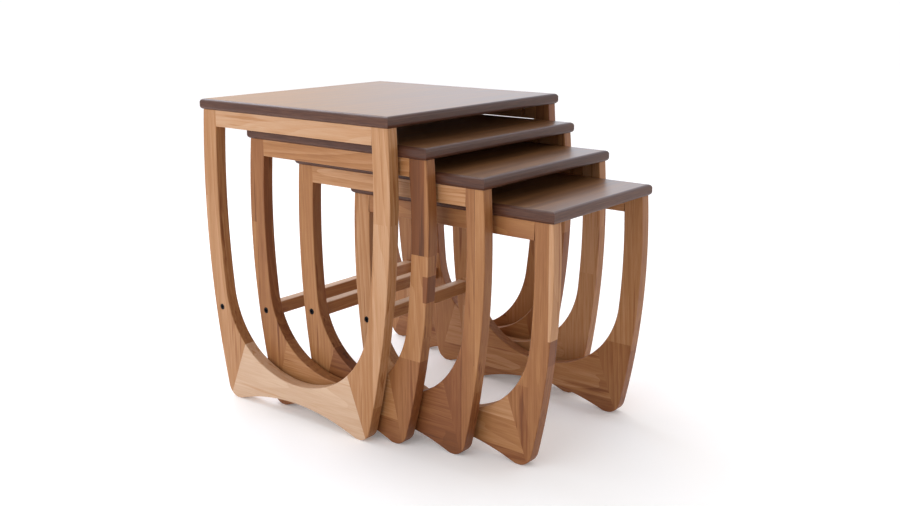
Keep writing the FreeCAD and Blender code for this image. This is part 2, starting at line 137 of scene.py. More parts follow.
def meet(c1, r1, c2, r2):
    """The lower crossing of two circles."""
    run = math.dist(c1, c2)
    a = (r1 * r1 - r2 * r2 + run * run) / (2 * run)
    h = math.sqrt(r1 * r1 - a * a)
    uy, uz = (c2[0] - c1[0]) / run, (c2[1] - c1[1]) / run
    spots = [(c1[0] + a * uy - s * h * uz, c1[1] + a * uz + s * h * uy) for s in (1, -1)]
    return min(spots, key=lambda p: p[1])


def compass(k):
    """Centres and corners of table k's side frame, in its own plane, from its middle."""
    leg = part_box(f"table_{k}_left_rear_leg")
    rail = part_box(f"table_{k}_left_top_rail")
    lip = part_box(f"table_{k}_side_lippings")
    c = {"x": (leg[0].x, leg[1].x), "middle": (rail[0].y + rail[1].y) / 2,
         "top": leg[1].z, "rail_low": rail[0].z,
         "half": (lip[1].y - lip[0].y) / 2 - OVERHANG}
    belly, floor = BELLY[k - 1] * MM, OPENING_FLOOR[k - 1] * MM
    foot = c["foot"] = (c["half"] - FOOT_INSET[k - 1] * MM, FOOT_R - FOOT_FLAT)
    rise2, gap = (c["top"] - belly) ** 2, c["half"] - foot[0]
    # The long arc passes through the leg's top corner and touches the foot's rounding.
    p = (c["half"] ** 2 - foot[0] ** 2 + rise2
         - (belly - foot[1]) ** 2 + FOOT_R ** 2) / 2 / gap
    q = FOOT_R / gap
    a, b = q * q - 1, 2 * q * (c["half"] - p)
    root = math.sqrt(b * b - 4 * a * ((c["half"] - p) ** 2 + rise2))
    outer_r = max((-b + root) / (2 * a), (-b - root) / (2 * a))
    leg_c = c["leg_c"] = (p - q * outer_r, belly)
    c["outer_foot"] = toward(leg_c, foot, outer_r)
    inner_r = outer_r - LEG_WIDTH
    # One circle would touch the floor and both legs; a flatter and a tighter one are fuller.
    circle = ((inner_r ** 2 - leg_c[0] ** 2 - (belly - floor) ** 2)
              / 2 / (inner_r - belly + floor))
    floor_r, side_r = circle * (1 + FULLNESS), circle * (1 - FULLNESS)
    c["floor_c"] = (0.0, floor + floor_r)
    c["side_c"] = meet(c["floor_c"], floor_r - side_r, leg_c, inner_r - side_r)
    c["floor_side"] = toward(c["floor_c"], c["side_c"], floor_r)
    c["side_leg"] = toward(leg_c, c["side_c"], inner_r)
    c["rail_end"] = (rail[1].y - rail[0].y) / 2
    c["mitre_foot"] = (foot[0] + FOOT_R * math.sin(MITRE_ANGLE),
                       foot[1] - FOOT_R * math.cos(MITRE_ANGLE))
    reach = MITRE_REACH[k - 1] * MM
    c["mitre_top"] = (reach, c["side_c"][1]
                      - math.sqrt(side_r ** 2 - (reach - c["side_c"][0]) ** 2))
    lift = foot[1] - ARCH_RISE
    arch_r = (foot[0] ** 2 + lift ** 2 - FOOT_R ** 2) / 2 / (FOOT_R - lift)
    c["arch_c"] = (0.0, ARCH_RISE - arch_r)
    c["arch_foot"] = toward(foot, c["arch_c"], FOOT_R)
    c["flat"] = math.sqrt(FOOT_R ** 2 - foot[1] ** 2)
    c["outer_r"] = outer_r
    return c


COMPASS = {k: compass(k) for k in TABLES}
for k, c in COMPASS.items():
    print(f"table {k}: long arc {c['outer_r'] / MM:.0f} mm,",
          f"middle at y {c['middle'] / MM:.1f}")

# %% [markdown]
# ## Drawing the outline
# Blender's spin operator is the compass. The pencil is one vertex: a plane merged to a point.
# Spinning the selected vertex about a centre draws an arc and leaves its end selected, ready
# for the next one, and extruding it draws a straight line. Each arc is divided so finely that
# no chord is more than a few hundredths of a millimetre inside the curve.

# %% A pencil and a compass
CHORD_ERROR = 0.03 * MM


def pencil(x, start, name):
    """One vertex at a point of the plane x."""
    bpy.ops.object.select_all(action="DESELECT")
    bpy.ops.mesh.primitive_plane_add(size=MM, location=(x, *start))
    point = named(name)
    bpy.ops.object.transform_apply(location=True)
    edit(point)
    bpy.ops.mesh.merge(type="CENTER")
    return point


def arc(x, here, centre, end):
    """Spin the selected vertex about a centre, as far as the end point."""
    turn = (math.atan2(end[1] - centre[1], end[0] - centre[0])
            - math.atan2(here[1] - centre[1], here[0] - centre[0]))
    turn = (turn + math.pi) % (2 * math.pi) - math.pi
    radius = math.dist(here, centre)
    chord = math.sqrt(8 * radius * CHORD_ERROR)
    steps = max(2, math.ceil(abs(turn) * radius / chord))
    # Spin counts a turn from +Y towards -Z as positive, so the sign is turned round.
    bpy.ops.mesh.spin(steps=steps, angle=-turn, center=(x, *centre), axis=(1, 0, 0))
    return end


def line(here, end):
    """Extrude the selected vertex to a point."""
    bpy.ops.mesh.extrude_vertices_move(
        TRANSFORM_OT_translate={"value": (0, end[0] - here[0], end[1] - here[1])})
    return end


print("compass ready")

# %% [markdown]
# ## The side frame, made in one and sawn apart
# On the real tables the frame is glued up from two legs and two rails and its edges are then
# rounded all the way round, so a rounding runs across a joint without a break. Here the legs
# and the bottom rail start as one plate: outline, face, thickness, rounded edges. Bisecting
# the plate along the mitres then gives three closed pieces that still meet flush.

# %% One plate with rounded edges
EDGE_ROUND = 1.6 * MM
NEAR = 0.01 * MM


def outline_steps(c, m):
    """Arcs and lines all the way round, as (centre or None, end), from the rear leg's top."""
    def at(p, sign=1):
        return (m + sign * p[0], p[1])

    def way(sign):
        foot, flat = c["foot"], c["flat"]
        return [(at(c["leg_c"], sign), at(c["outer_foot"], sign)),
                (at(foot, sign), at((foot[0] + flat, 0.0), sign)),
                (None, at((foot[0] - flat, 0.0), sign)),
                (at(foot, sign), at(c["arch_foot"], sign))]
    corner = (c["half"], c["top"])
    front = way(-1)
    starts = [at(corner, -1)] + [end for _, end in front[:-1]]
    back_up = [(centre, start) for (centre, _), start in reversed(list(zip(front, starts)))]
    rail = (c["rail_end"], c["rail_low"])
    inside = [(None, at((c["rail_end"], c["top"]), -1)), (None, at(rail, -1)),
              (at(c["leg_c"], -1), at(c["side_leg"], -1)),
              (at(c["side_c"], -1), at(c["floor_side"], -1)),
              (at(c["floor_c"]), at(c["floor_side"])), (at(c["side_c"]), at(c["side_leg"])),
              (at(c["leg_c"]), at(rail)), (None, at((c["rail_end"], c["top"]))),
              (None, at(corner))]
    return at(corner), way(1) + [(at(c["arch_c"]), at(c["arch_foot"], -1))] + back_up + inside


def side_plate(k):
    """The legs and bottom rail of table k's left side frame in one piece."""
    c = COMPASS[k]
    low, high = c["x"]
    here, steps = outline_steps(c, c["middle"])
    plate = pencil(low, here, f"plate_{k}")
    for centre, end in steps:
        here = arc(low, here, centre, end) if centre else line(here, end)
    bpy.ops.mesh.select_all(action="SELECT")
    bpy.ops.mesh.remove_doubles(threshold=NEAR)
    bpy.ops.mesh.edge_face_add()
    bpy.ops.mesh.extrude_region_move(TRANSFORM_OT_translate={"value": (high - low, 0, 0)})
    bpy.ops.mesh.select_all(action="SELECT")
    bpy.ops.mesh.normals_make_consistent(inside=False)
    top, rail_low, rail_end, m = c["top"], c["rail_low"], c["rail_end"], c["middle"]

    def to_round(edge):
        a, b = (v.co for v in edge.verts)
        flat_side = abs(a.x - b.x) < NEAR
        under_top = min(a.z, b.z) > top - NEAR
        shoulder = (min(a.z, b.z) > rail_low - NEAR
                    and all(abs(abs(p.y - m) - rail_end) < NEAR for p in (a, b)))
        return flat_side and not under_top and not shoulder
    count = pick(plate, "edges", to_round)
    bpy.ops.mesh.bevel(offset=EDGE_ROUND, segments=3, profile=0.5, affect="EDGES")
    leave()
    print(f"table {k}: plate of {len(plate.data.vertices)} points, {count} edges rounded")
    return plate


PLATES = {k: side_plate(k) for k in TABLES}

# %% [markdown]
# ## Sawing the plate at its joints
# Bisect with fill is the saw: it throws away one side of a plane and closes the cut. A leg is
# the plate beyond its mitre; the bottom rail is what lies between the two mitres.


# %% Saw, copy and shift
def saw(obj, point, normal, keep_normal_side=False):
    """Cut all of obj at a plane and keep one side, closed."""
    edit(obj)
    bpy.ops.mesh.bisect(plane_co=point, plane_no=normal, use_fill=True,
                        clear_inner=keep_normal_side, clear_outer=not keep_normal_side)
    leave()


def twin(obj, name, shift=(0, 0, 0)):
    """A copy with its own mesh, shifted inside its mesh so its object stays at the origin."""
    only(obj)
    bpy.ops.object.duplicate(linked=False)
    copy = named(name)
    if any(shift):
        edit(copy)
        bpy.ops.transform.translate(value=shift)
        leave()
    return copy


def mitre_plane(k, sign):
    """A point of a mitre, and its normal towards the leg. sign is 1 behind, -1 in front."""
    c = COMPASS[k]
    foot, top = c["mitre_foot"], c["mitre_top"]
    normal = (0, sign * (top[1] - foot[1]), foot[0] - top[0])
    return (c["x"][0], c["middle"] + sign * foot[0], foot[1]), normal


def frame_pieces(k):
    """Both side frames of table k: {piece name: object}."""
    c, made = COMPASS[k], {}
    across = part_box(f"table_{k}_right_rear_leg")[0].x - c["x"][0]
    for side, shift in (("left", 0), ("right", across)):
        for piece, sign in (("front_leg", -1), ("rear_leg", 1)):
            name = f"table_{k}_{side}_{piece}"
            leg = twin(PLATES[k], "wood_" + name, (shift, 0, 0))
            saw(leg, *mitre_plane(k, sign), keep_normal_side=True)
            made[name] = leg
        name = f"table_{k}_{side}_bottom_rail"
        rail = twin(PLATES[k], "wood_" + name, (shift, 0, 0))
        for sign in (-1, 1):
            saw(rail, *mitre_plane(k, sign))
        made[name] = rail
    return made


WOOD = {}
for k in TABLES:
    WOOD.update(frame_pieces(k))
for plate in PLATES.values():
    bpy.data.objects.remove(plate)


def off_by(name, obj):
    """Largest distance between a piece's box and its CAD node's, mm."""
    spots = [v.co for v in obj.data.vertices]
    own = [f(p[i] for p in spots) for f in (min, max) for i in range(3)]
    cad = [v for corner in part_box(name) for v in corner]
    return max(abs(a - b) for a, b in zip(own, cad)) / MM


print("furthest from the CAD box, mm:",
      round(max(off_by(name, obj) for name, obj in WOOD.items()), 3))

# %% [markdown]
# ## Top rails
# The top rail is a straight bar between the legs, flush with both faces. Only its two lower
# edges are rounded, like the opening that they belong to; the upper ones are hidden under the
# top. Two pocket holes on the inner face take the screws that hold the top, drilled with a
# tilted cylinder as the Boolean's tool.

# %% A bar, and a drill
SCREW_TILT = math.radians(32)
POCKET_R = 4.5 * MM
POCKET_REACH = 45 * MM      # long enough to come out through the rail's inner face
HEAD_HEIGHT = 2.5 * MM      # of the screw's head, from its end to its seat


def bar(name, low, high, round_edges, radius, segments=3):
    """A box from corner to corner, with the edges that pass a test rounded."""
    bpy.ops.object.select_all(action="DESELECT")
    middle = [(a + b) / 2 for a, b in zip(low, high)]
    bpy.ops.mesh.primitive_cube_add(size=1, location=middle,
                                    scale=[b - a for a, b in zip(low, high)])
    obj = named(name)
    bpy.ops.object.transform_apply(location=True, rotation=True, scale=True)
    edit(obj)
    pick(obj, "edges", round_edges)
    bpy.ops.mesh.bevel(offset=radius, segments=segments, profile=0.5, affect="EDGES")
    leave()
    return obj


def drill(obj, start, end, radius, sides=32):
    """Take a cylinder away from obj, from one point to another."""
    start, end = Vector(start), Vector(end)
    run = end - start
    bpy.ops.object.select_all(action="DESELECT")
    bpy.ops.mesh.primitive_cylinder_add(vertices=sides, radius=radius, depth=run.length,
                                        location=(start + end) / 2,
                                        rotation=run.to_track_quat("Z", "Y").to_euler())
    tool = named("drill")
    only(obj)
    bpy.ops.object.modifier_add(type="BOOLEAN")
    obj.modifiers[-1].operation = "DIFFERENCE"
    obj.modifiers[-1].object = tool
    bpy.ops.object.modifier_apply(modifier=obj.modifiers[-1].name)
    bpy.data.objects.remove(tool)


def top_rail(k, side, sign):
    """A top rail with its two pockets. sign is the side's direction along X."""
    name = f"table_{k}_{side}_top_rail"
    low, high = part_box(name)

    def lower_edge(edge):
        a, b = (v.co for v in edge.verts)
        return max(a.z, b.z) < low.z + NEAR and abs(a.x - b.x) < NEAR
    rail = bar("wood_" + name, low, high, lower_edge, EDGE_ROUND)
    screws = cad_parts[f"table_{k}_top_screws"].data.vertices
    for end in (-1, 1):
        own = [v.co for v in screws if v.co.x * sign > 0
               and (v.co.y - COMPASS[k]["middle"]) * end > 0]
        head = min(own, key=lambda p: p.z)
        y = (min(p.y for p in own) + max(p.y for p in own)) / 2
        # The pocket ends at the seat of the screw's head and runs from there down and
        # inwards, along the screw.
        lean = Vector((sign * math.sin(SCREW_TILT), 0, math.cos(SCREW_TILT)))
        middle = sum(own, Vector()) / len(own)
        middle.y = y
        depth = (head - middle).dot(lean) + HEAD_HEIGHT
        seat = middle + lean * depth
        drill(rail, seat, seat - lean * POCKET_REACH, POCKET_R)
    return name, rail


for k in TABLES:
    for side, sign in (("left", -1), ("right", 1)):
        name, rail = top_rail(k, side, sign)
        WOOD[name] = rail
print("top rails off the CAD box by at most, mm:",
      round(max(off_by(n, o) for n, o in WOOD.items() if "top_rail" in n), 3))

# %% [markdown]
# ## Stretchers
# A plain bar between the back legs of the three smaller tables, with all its long edges
# eased. Its two barrel nuts sit in holes drilled from below.

# %% Stretchers
BARREL_R = 5 * MM
BARREL_INSET = 26 * MM      # of a nut's middle from the stretcher's end
BARREL_DEPTH = 16 * MM
STRETCHER_ROUND = 1.5 * MM


def stretcher(k):
    """A stretcher, eased along its length, with the holes for its nuts."""
    name = f"table_{k}_stretcher"
    low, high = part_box(name)
    piece = bar("wood_" + name, low, high,
                lambda e: abs(e.verts[0].co.x - e.verts[1].co.x) > NEAR, STRETCHER_ROUND)
    for x in (low.x + BARREL_INSET, high.x - BARREL_INSET):
        hole = (x, (low.y + high.y) / 2)
        drill(piece, (*hole, low.z - MM), (*hole, low.z + BARREL_DEPTH), BARREL_R)
    return name, piece


for k in TABLES[1:]:
    name, piece = stretcher(k)
    WOOD[name] = piece
    print(name, "off the CAD box by", round(off_by(name, piece), 3), "mm")

# %% [markdown]
# ## Bolts
# A black socket-head bolt goes through each back leg. Its head fills a counterbore, flush
# with the leg. One head is turned from a cylinder: the rim is bevelled, a hexagon is sunk
# with a Boolean, and the rest of the bolt is extruded behind it. The others are copies of it.

# %% Counterbores in the back legs
BOLT_HEAD_R = 5 * MM
BOLT_HEAD_H = 6 * MM
BORE_CLEARANCE = 0.35 * MM
ROUND_SIDES = 48            # of a turned head and its bore


def bolt_spots(k):
    """Middle of each bolt head's outer face, by side, from the CAD bolts."""
    node = f"table_{k}_bolt_caps" if k == 1 else f"table_{k}_stretcher_bolts"
    low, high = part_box(node)
    head = [v.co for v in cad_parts[node].data.vertices if v.co.x < low.x + MM]
    y = (min(p.y for p in head) + max(p.y for p in head)) / 2
    z = (min(p.z for p in head) + max(p.z for p in head)) / 2
    return node, {"left": Vector((low.x, y, z)), "right": Vector((high.x, y, z))}


for k in TABLES:
    node, spots = bolt_spots(k)
    for side, sign in (("left", 1), ("right", -1)):
        spot = spots[side]
        leg = WOOD[f"table_{k}_{side}_rear_leg"]
        drill(leg, spot - Vector((sign * MM, 0, 0)), spot + Vector((sign * BOLT_HEAD_H, 0, 0)),
              BOLT_HEAD_R + BORE_CLEARANCE, ROUND_SIDES)
    print(node, "at", [round(v / MM, 1) for v in spots["left"]])

# %% One bolt, as a pattern
SHANK_R = 3 * MM
SHANK_LENGTH = 15 * MM
SOCKET_R = 2.9 * MM
SOCKET_DEEP = 3 * MM
RIM = 0.7 * MM


def turned_bolt():
    """A bolt along +X with the middle of its head's outer face at the origin."""
    bpy.ops.object.select_all(action="DESELECT")
    bpy.ops.mesh.primitive_cylinder_add(vertices=ROUND_SIDES, radius=BOLT_HEAD_R,
                                        depth=BOLT_HEAD_H, location=(BOLT_HEAD_H / 2, 0, 0),
                                        rotation=(0, math.pi / 2, 0))
    bolt = named("bolt_pattern")
    bpy.ops.object.transform_apply(location=True, rotation=True, scale=True)
    edit(bolt)
    pick(bolt, "edges", lambda e: max(v.co.x for v in e.verts) < NEAR)
    bpy.ops.mesh.bevel(offset=RIM, segments=3, profile=0.5, affect="EDGES")
    pick(bolt, "faces", lambda f: f.normal.x > 0.9)
    bpy.ops.mesh.inset(thickness=BOLT_HEAD_R - SHANK_R, depth=0)
    bpy.ops.mesh.extrude_region_move(TRANSFORM_OT_translate={"value": (SHANK_LENGTH, 0, 0)})
    leave()
    drill(bolt, (-MM, 0, 0), (SOCKET_DEEP, 0, 0), SOCKET_R, 6)
    return bolt


pattern = turned_bolt()
print("bolt of", len(pattern.data.polygons), "faces")

# %% Barrel nuts, and the copies of the bolt
NUT_R = BARREL_R - 0.1 * MM
NUT_LENGTH = 14.5 * MM
NUT_MIDDLE = 8.3 * MM       # above the stretcher's underside
NUT_RIM = 0.5 * MM
SLOT_R = 0.9 * MM


def barrel_nut(k, x, y):
    """The nut a bolt screws into, seen from under the stretcher, with its slot."""
    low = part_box(f"table_{k}_stretcher")[0]
    bpy.ops.object.select_all(action="DESELECT")
    bpy.ops.mesh.primitive_cylinder_add(vertices=32, radius=NUT_R, depth=NUT_LENGTH,
                                        location=(x, y, low.z + NUT_MIDDLE))
    nut = named("nut")
    bpy.ops.object.transform_apply(location=True)
    edit(nut)
    pick(nut, "edges", lambda e: max(v.co.z for v in e.verts) < low.z + 2 * MM)
    bpy.ops.mesh.bevel(offset=NUT_RIM, segments=2, affect="EDGES")
    leave()
    past = BARREL_R + MM
    drill(nut, (x - past, y, low.z + MM), (x + past, y, low.z + MM), SLOT_R, 4)
    return nut


BOLTS = {}
for k in TABLES:
    node, spots = bolt_spots(k)
    parts = []
    for side, turn in (("left", 0), ("right", math.pi)):
        copy = twin(pattern, "bolt")
        edit(copy)
        bpy.ops.transform.rotate(value=turn, orient_axis="Z", center_override=(0, 0, 0))
        bpy.ops.transform.translate(value=spots[side])
        leave()
        parts.append(copy)
    if k > 1:
        low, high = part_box(f"table_{k}_stretcher")
        for x in (low.x + BARREL_INSET, high.x - BARREL_INSET):
            parts.append(barrel_nut(k, x, spots["left"].y))
    only(parts[0])
    for part in parts[1:]:
        part.select_set(True)
    bpy.ops.object.join()
    BOLTS[node] = named("steel_" + node)
bpy.data.objects.remove(pattern)
print(len(BOLTS), "sets of bolts")

# %% [markdown]
# ## Tops
# A top is a veneered board inside a dark solid lipping, planed to one thickness and rounded
# over on its outer edges. As with the frames, the slab is rounded first and sawn afterwards,
# so that the rounding runs past the mitres. The board itself is the CAD node: it is flat, its
# shape is right, and it only needs its veneer.

# %% Rounded slabs, sawn into lippings
LIPPING_ROUND = 6 * MM
LIPPING_STEPS = 8


def slab(k):
    """The whole top of table k with its outer edges rounded and its corners left crisp."""
    low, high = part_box(f"table_{k}_side_lippings")

    def level(edge):
        return abs(edge.verts[0].co.z - edge.verts[1].co.z) < NEAR
    return bar(f"slab_{k}", low, high, level, LIPPING_ROUND, LIPPING_STEPS)


def lippings(k):
    """Side and end lippings of table k, two strips joined in each."""
    whole = slab(k)
    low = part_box(f"table_{k}_side_lippings")[0]
    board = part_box(f"table_{k}_top_panel")
    made = {}
    for kind, axis in (("side", 0), ("end", 1)):
        strips = []
        for sign in (-1, 1):
            strip = twin(whole, "strip")
            corner = board[1] if sign > 0 else board[0]
            outward = Vector((0, 0, 0))
            outward[axis] = sign
            saw(strip, corner, outward, keep_normal_side=True)
            for other in (-1, 1):
                # The mitre: a plane at 45 degrees through a corner of the board.
                spot = Vector((0, 0, low.z))
                spot[axis] = corner[axis]
                spot[1 - axis] = board[1 if other > 0 else 0][1 - axis]
                normal = Vector((0, 0, 0))
                normal[axis], normal[1 - axis] = sign, -other
                saw(strip, spot, normal, keep_normal_side=True)
            strips.append(strip)
        only(strips[0])
        strips[1].select_set(True)
        bpy.ops.object.join()
        name = f"table_{k}_{kind}_lippings"
        made[name] = named("wood_" + name)
    bpy.data.objects.remove(whole)
    return made


LIPPINGS = {}
for k in TABLES:
    LIPPINGS.update(lippings(k))
print("lippings off the CAD box by at most, mm:",
      round(max(off_by(n, o) for n, o in LIPPINGS.items()), 3))

# %% [markdown]
# ## Staves
# The frames aren't sawn from single boards. Their blanks are glued up from staves: strips side
# by side, butted end to end, and the colour jumps from one to the next. To make that show,
# each piece is bisected at its glue lines, without throwing anything away, and every face is
# given its tone, from dark heartwood to pale sapwood, and the place of the heart of the tree
# it was sawn from, so that the rings curve as they do on a flat-sawn board and no two staves
# continue each other. The tone also holds painted shade: the frames' edges and the
# stretchers' sides are made darker than their broad faces.

# %% Glue lines of the pieces that are seen best
# Per piece, first match wins: distance from the frame's middle (from, to), level (from, to),
# in mm, and tone. A strip under a millimetre wide is a dark vein. A piece that isn't listed
# gets strips from a seeded draw.
# The listed tones are partly each stave's own colour and partly painted light and shade, set to
# how brightly each piece is lit.
FAR = 999
ALL = (0, FAR)
STAVES = {
    "table_1_left_front_leg": [((0, 177), (0, 355), 0.54), (ALL, (0, 355), 0.65),
                               (ALL, (355, FAR), 0.60)],
    "table_1_left_rear_leg": [((205, FAR), (0, 352), 0.66), (ALL, ALL, 0.56)],
    "table_1_left_bottom_rail": [(ALL, ALL, 0.86)],
    "table_1_left_top_rail": [(ALL, ALL, 0.69)],
    "table_2_left_front_leg": [((179.6, 180.4), (311, FAR), 0.05),
                               ((186, FAR), (239, 280), 0.28),
                               ((190, FAR), (311, FAR), 0.46),
                               ((186, FAR), (144, 311), 0.50), (ALL, (0, 144), 0.41),
                               (ALL, (144, 311), 0.50), (ALL, (311, FAR), 0.22)],
    "table_2_left_rear_leg": [((182, FAR), (0, 313), 0.50), (ALL, ALL, 0.42)],
    # Painted shade: table 2's top rail is given a lower tone for the shadow it stands in.
    "table_2_left_top_rail": [(ALL, ALL, 0.50)],
    "table_2_left_bottom_rail": [(ALL, (0, 40), 0.35), (ALL, ALL, 0.52)],
    "table_3_left_front_leg": [((175.6, 176.4), (150, FAR), 0.14),
                               ((0, 153), (0, 208), 0.30), ((0, 176), ALL, 0.42),
                               (ALL, ALL, 0.52)],
    "table_3_left_rear_leg": [(ALL, ALL, 0.48)],
    "table_3_left_top_rail": [(ALL, ALL, 0.55)],
    "table_3_left_bottom_rail": [(ALL, (0, 34), 0.24), (ALL, ALL, 0.34)],
    "table_4_left_front_leg": [((187, FAR), (202, FAR), 0.66), ((0, 154), (0, 125), 0.36),
                               ((187, FAR), (0, 202), 0.38), (ALL, ALL, 0.44)],
    "table_4_left_rear_leg": [(ALL, ALL, 0.55)],
    "table_4_left_top_rail": [(ALL, ALL, 0.42)],
    "table_4_left_bottom_rail": [(ALL, (0, 20), 0.34), (ALL, (20, 67), 0.48),
                                 (ALL, ALL, 0.60)],
    "table_4_right_front_leg": [((0, 180), (0, 125), 0.41), (ALL, ALL, 0.52)],
    "table_4_right_bottom_rail": [(ALL, (0, 24), 0.38), (ALL, ALL, 0.48)],
}
DRAW = random.Random(7)
TONES = (0.36, 0.62)
# Partly the stretchers' own pale tone, partly painted light: their tops are made as pale as
# they look lit from above.
STRETCHER_TONE_AND_LIGHT = 0.8
RAIL_LINE = (20, 60)        # level of the glue line in a rail that isn't listed, mm
LEG_LINE = (170, 188)       # of the glue line along such a leg, from the middle
LOW_BUTT = (120, 260)       # levels of the butt joints in its two strips
HIGH_BUTT = (280, 400)
HEART_REACH = 45 * MM
EDGE_SHADE = 0.10          # painted shade on the frames' edges, the faces that don't look sideways
STRETCHER_SIDE_SHADE = 0.34         # painted shade on a stretcher's sides, below its lit top


def drawn_staves(name):
    """Staves for a piece that isn't listed: in a leg, two strips with a butt joint each."""
    tones = [DRAW.uniform(*TONES) for _ in range(4)]
    if "stretcher" in name:
        return [(ALL, ALL, STRETCHER_TONE_AND_LIGHT)]
    if "leg" not in name:
        return [(ALL, (0, DRAW.uniform(*RAIL_LINE)), tones[0]), (ALL, ALL, tones[1])]
    line, low, high = (DRAW.uniform(*limits) for limits in (LEG_LINE, LOW_BUTT, HIGH_BUTT))
    return [((0, line), (0, low), tones[0]), ((0, line), ALL, tones[1]),
            (ALL, (0, high), tones[2]), (ALL, ALL, tones[3])]


def stave(name, obj):
    """Bisect a piece at its glue lines; write tone, with painted shade on edges and sides, and
    heart on its faces.
    """
    rows = STAVES.get(name) or drawn_staves(name)
    middle = COMPASS[int(name.split("_")[1])]["middle"]
    # Painted shade: faces that don't look along this axis lose some tone, the frames' edges and
    # the stretchers' sides.
    flat, painted_shade = (2, STRETCHER_SIDE_SHADE) if "stretcher" in name else (0, EDGE_SHADE)
    lines = {v for row in rows for v in row[0] if 0 < v < FAR}
    levels = {v for row in rows for v in row[1] if 0 < v < FAR}
    edit(obj)
    for value in sorted(lines):
        for sign in (-1, 1):
            bpy.ops.mesh.select_all(action="SELECT")
            bpy.ops.mesh.bisect(plane_co=(0, middle + sign * value * MM, 0),
                                plane_no=(0, 1, 0))
    for value in sorted(levels):
        bpy.ops.mesh.select_all(action="SELECT")
        bpy.ops.mesh.bisect(plane_co=(0, 0, value * MM), plane_no=(0, 0, 1))
    leave()
    mesh = obj.data
    tone = mesh.attributes.new("tone", "FLOAT", "FACE")
    heart = mesh.attributes.new("heart", "FLOAT_VECTOR", "FACE")
    centre = sum((v.co for v in mesh.vertices), Vector()) / len(mesh.vertices)
    hearts = [centre + Vector([DRAW.uniform(-HEART_REACH, HEART_REACH) for _ in range(3)])
              for _ in rows]
    for face in mesh.polygons:
        out, level = abs(face.center.y - middle) / MM, face.center.z / MM
        for i, (reach, height, value) in enumerate(rows):
            if reach[0] <= out <= reach[1] and height[0] <= level <= height[1]:
                break
        tone.data[face.index].value = value - painted_shade * (1 - abs(face.normal[flat]))
        heart.data[face.index].vector = hearts[i]
    return len(rows)


print(sum(stave(name, obj) for name, obj in WOOD.items()), "staves")

# %% [markdown]
# ## Materials
# Colours are written as sRGB hex values and turned to linear once, by one function, because
# the shader works in linear light. One small helper adds a node with its settings, values,
# links and colour stops, so that each material below reads as a list of what the wood or metal
# does.


# %% Helpers for materials
def linear(code):
    """sRGB hex to the shader's linear RGBA."""
    channels = [int(code[i:i + 2], 16) / 255 for i in (1, 3, 5)]
    return tuple(v / 12.92 if v <= 0.04045 else ((v + 0.055) / 1.055) ** 2.4
                 for v in channels) + (1.0,)


def add(tree, kind, values=(), links=(), stops=(), **settings):
    """Add a node: settings are its own options, values and links go to its inputs, and stops,
    as (position, hex), to its colour ramp."""
    node = tree.nodes.new("ShaderNode" + kind)
    for key, value in settings.items():
        setattr(node, key, value)
    for socket, value in dict(values).items():
        node.inputs[socket].default_value = value
    for socket, source in dict(links).items():
        tree.links.new(source, node.inputs[socket])
    if stops:
        points = node.color_ramp.elements
        while len(points) < len(stops):
            points.new(0.5)
        for point, (position, code) in zip(points, stops):
            point.position, point.color = position, linear(code)
    return node


def blank(name):
    """A material with only its shader: returns it, its node tree and the shader."""
    material = bpy.data.materials.new(name)
    material.use_nodes = True
    tree = material.node_tree
    shader = tree.nodes["Principled BSDF"]
    return material, tree, shader


print("pale stave:", [round(v, 3) for v in linear("#d8b48e")])

# %% [markdown]
# ## Teak staves, lacquered satin
# Plantation teak: pinkish brown to straw, with darker heartwood, sawn, glued, sanded and
# lacquered satin. Growth bands are about 7 mm apart on a flat-sawn face, drawn out along the
# stave twenty times their width, and a few are much darker. The fibre is really a few tenths
# of a millimetre; it is drawn 2 mm wide so that it shows. The same wood is made in three
# directions: upright for the legs, front to back for the rails, across for the stretchers.

# %% Teak in three directions
BAND = 7 * MM
FIBRE = 2 * MM
STREAK = 9 * MM
STRETCH = 22
TILT = (math.radians(2.5), math.radians(1.5), math.radians(3))  # of the heart in its stave
WAVE_PERIOD = 2 * math.pi / 20      # of Blender's wave texture at a scale of 1
DRIFT = 16                          # slow drifts in a metre
CALM, LIVELY = 0.35, 0.7            # levels of drift where rings show least and most
RING_BEND = 0.04                    # how far a drift moves a ring, m
RINGS_SHOW = (0.01, 0.13)           # how much of the tone the rings move, least and most
FIBRE_SHOWS = 0.22
STREAK_SHOWS = 0.24
VEIN_STARTS, VEIN_FULL = 0.60, 0.70
VEIN_DARKENS = 0.22
PATTERN_MEAN = 0.26                 # what rings, fibre and streaks add on average
SATIN = (0.42, 0.56)                # roughness, from the closed fibres to the open ones
LACQUER_IOR = 1.5


